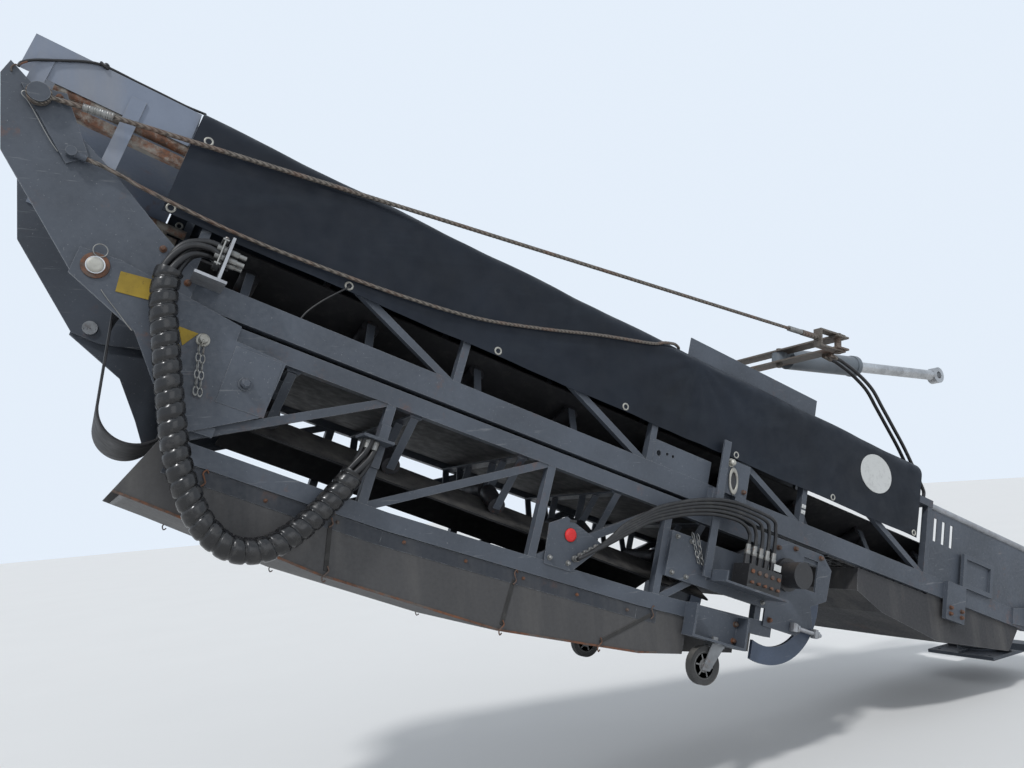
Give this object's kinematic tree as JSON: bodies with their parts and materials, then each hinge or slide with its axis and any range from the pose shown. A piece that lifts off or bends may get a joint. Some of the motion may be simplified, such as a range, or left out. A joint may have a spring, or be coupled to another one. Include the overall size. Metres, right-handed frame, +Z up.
{
  "type": "folding discharge conveyor of a cold planer",
  "caption": "Folding discharge conveyor with lattice frames, tarpaulin cover, hinged outer section, stay ropes, lift cylinder and support castors.",
  "frame": {"origin": "on the slew axis, in the console's bottom face", "axes": "+Z up along the slew axis, +X towards the machine, so the conveyor reaches out and up along -X; -Y is the side seen in the picture"},
  "size_m": [6.7681, 1.31, 3.4704],
  "materials": {
    "frame_paint": "satin slate blue-grey, worn edges",
    "tarpaulin": "coated cloth, near black",
    "hood_panel": "matt dark neutral grey",
    "end_sheet": "weathered light blue-grey",
    "belt_rubber": "dusty black",
    "dark_panel": "dusty near black",
    "guard_steel": "worn blue-grey",
    "roller_steel": "dusty dark grey",
    "bright_steel": "bare steel",
    "rail_steel": "dull galvanised",
    "motor_black": "gloss black",
    "castor_steel": "dull zinc",
    "castor_rubber": "worn dark rubber",
    "rope_steel": "greased and rusty steel",
    "cylinder_grey": "grey paint",
    "hose_guard": "glossy black spiral",
    "hose_rubber": "black"
  },
  "bodies": {
    "console": {"slew_console": "frame_paint"},
    "slew_frame": {"slew_frame": "frame_paint"},
    "main_section": {"tail_brackets": "frame_paint", "main_pins": "bright_steel", "main_lower_chords": "frame_paint", "main_upper_chords": "frame_paint", "main_posts": "frame_paint", "main_diagonals": "frame_paint", "main_cross_members": "frame_paint", "main_idler_bars": "frame_paint", "main_idler_plates": "frame_paint", "main_rollers": "roller_steel", "tail_drum": "roller_steel", "main_belt": "belt_rubber", "belt_fold_loop": "belt_rubber", "cover_bows": "frame_paint", "main_cover": "tarpaulin", "roof_angle": "frame_paint", "hopper_sides": "frame_paint", "hopper_rail": "rail_steel", "hopper_apron": "belt_rubber", "belly_pan": "dark_panel", "mesh_guard": "dark_panel", "main_hinge_plates": "frame_paint", "stay_brackets": "frame_paint", "end_hood": "end_sheet", "lock_straps": "frame_paint", "hose_bracket": "rail_steel", "hose_loop": "hose_guard", "slack_rope": "rope_steel", "lift_hose_left": "hose_rubber", "lift_hose_right": "hose_rubber"},
    "folded_section": {"fold_inner_chords": "frame_paint", "fold_outer_chords": "frame_paint", "fold_posts": "frame_paint", "fold_diagonals": "frame_paint", "fold_cross_members": "frame_paint", "fold_hinge_plates": "frame_paint", "fold_idler_bars": "frame_paint", "fold_idler_plates": "frame_paint", "fold_rollers": "roller_steel", "fold_belt": "belt_rubber", "fold_hood": "hood_panel", "head_drum": "roller_steel", "head_plates": "frame_paint", "drum_motor": "motor_black", "discharge_guard": "guard_steel", "valve_tray": "frame_paint", "valve_block": "motor_black", "fold_brackets": "frame_paint", "castor_brackets": "frame_paint"},
    "stays": {"stay_ropes": "rope_steel", "yoke": "rope_steel", "lift_barrel": "cylinder_grey"},
    "lift_rod": {"lift_rod": "bright_steel"},
    "castor_fork_near": {"castor_fork_near": "castor_steel"},
    "castor_fork_far": {"castor_fork_far": "castor_steel"},
    "castor_wheel_near": {"castor_wheel_near": "castor_rubber"},
    "castor_wheel_far": {"castor_wheel_far": "castor_rubber"}
  },
  "joints": [
    {"name": "slew", "type": "hinge", "parent": "console", "child": "slew_frame", "pos_m": [0, 0, 0.08], "axis": [0, 0, 1], "range_deg": [-60, 60]},
    {"name": "lift", "type": "hinge", "parent": "slew_frame", "child": "main_section", "pos_m": [-0.15011, 0, 0.33998], "axis": [0, 1, 0], "range_deg": [-12, 5]},
    {"name": "fold", "type": "hinge", "parent": "main_section", "child": "folded_section", "pos_m": [-6.18949, 0, 2.51582], "axis": [0, 1, 0], "range_deg": [0, 180], "deforming": ["belt_fold_loop", "hose_loop"]},
    {"name": "stay_swing", "type": "hinge", "parent": "main_section", "child": "stays", "pos_m": [-6.37919, 0, 3.18526], "axis": [0, 1, 0], "range_deg": [-0.2, 0.4], "deforming": ["lift_hose_left", "lift_hose_right"]},
    {"name": "lift_stroke", "type": "slide", "parent": "stays", "child": "lift_rod", "axis": [0.9979, 0, -0.0645], "range_m": [-0.17, 0.4]},
    {"name": "castor_swivel_near", "type": "hinge", "parent": "folded_section", "child": "castor_fork_near", "pos_m": [-3.24794, -0.55, 0.64114], "axis": [0.3584, 0, 0.9336], "continuous": true},
    {"name": "castor_roll_near", "type": "hinge", "parent": "castor_fork_near", "child": "castor_wheel_near", "pos_m": [-3.35162, -0.55, 0.53848], "axis": [0, 1, 0], "continuous": true},
    {"name": "castor_swivel_far", "type": "hinge", "parent": "folded_section", "child": "castor_fork_far", "pos_m": [-3.24794, 0.55, 0.64114], "axis": [0.3584, 0, 0.9336], "continuous": true},
    {"name": "castor_roll_far", "type": "hinge", "parent": "castor_fork_far", "child": "castor_wheel_far", "pos_m": [-3.35162, 0.55, 0.53848], "axis": [0, 1, 0], "continuous": true}
  ],
  "couplings": [
    {"joint": "stay_swing", "follows": "lift", "ratio": -0.0215},
    {"joint": "lift_stroke", "follows": "lift", "m_per_rad": -1.8818}
  ]
}
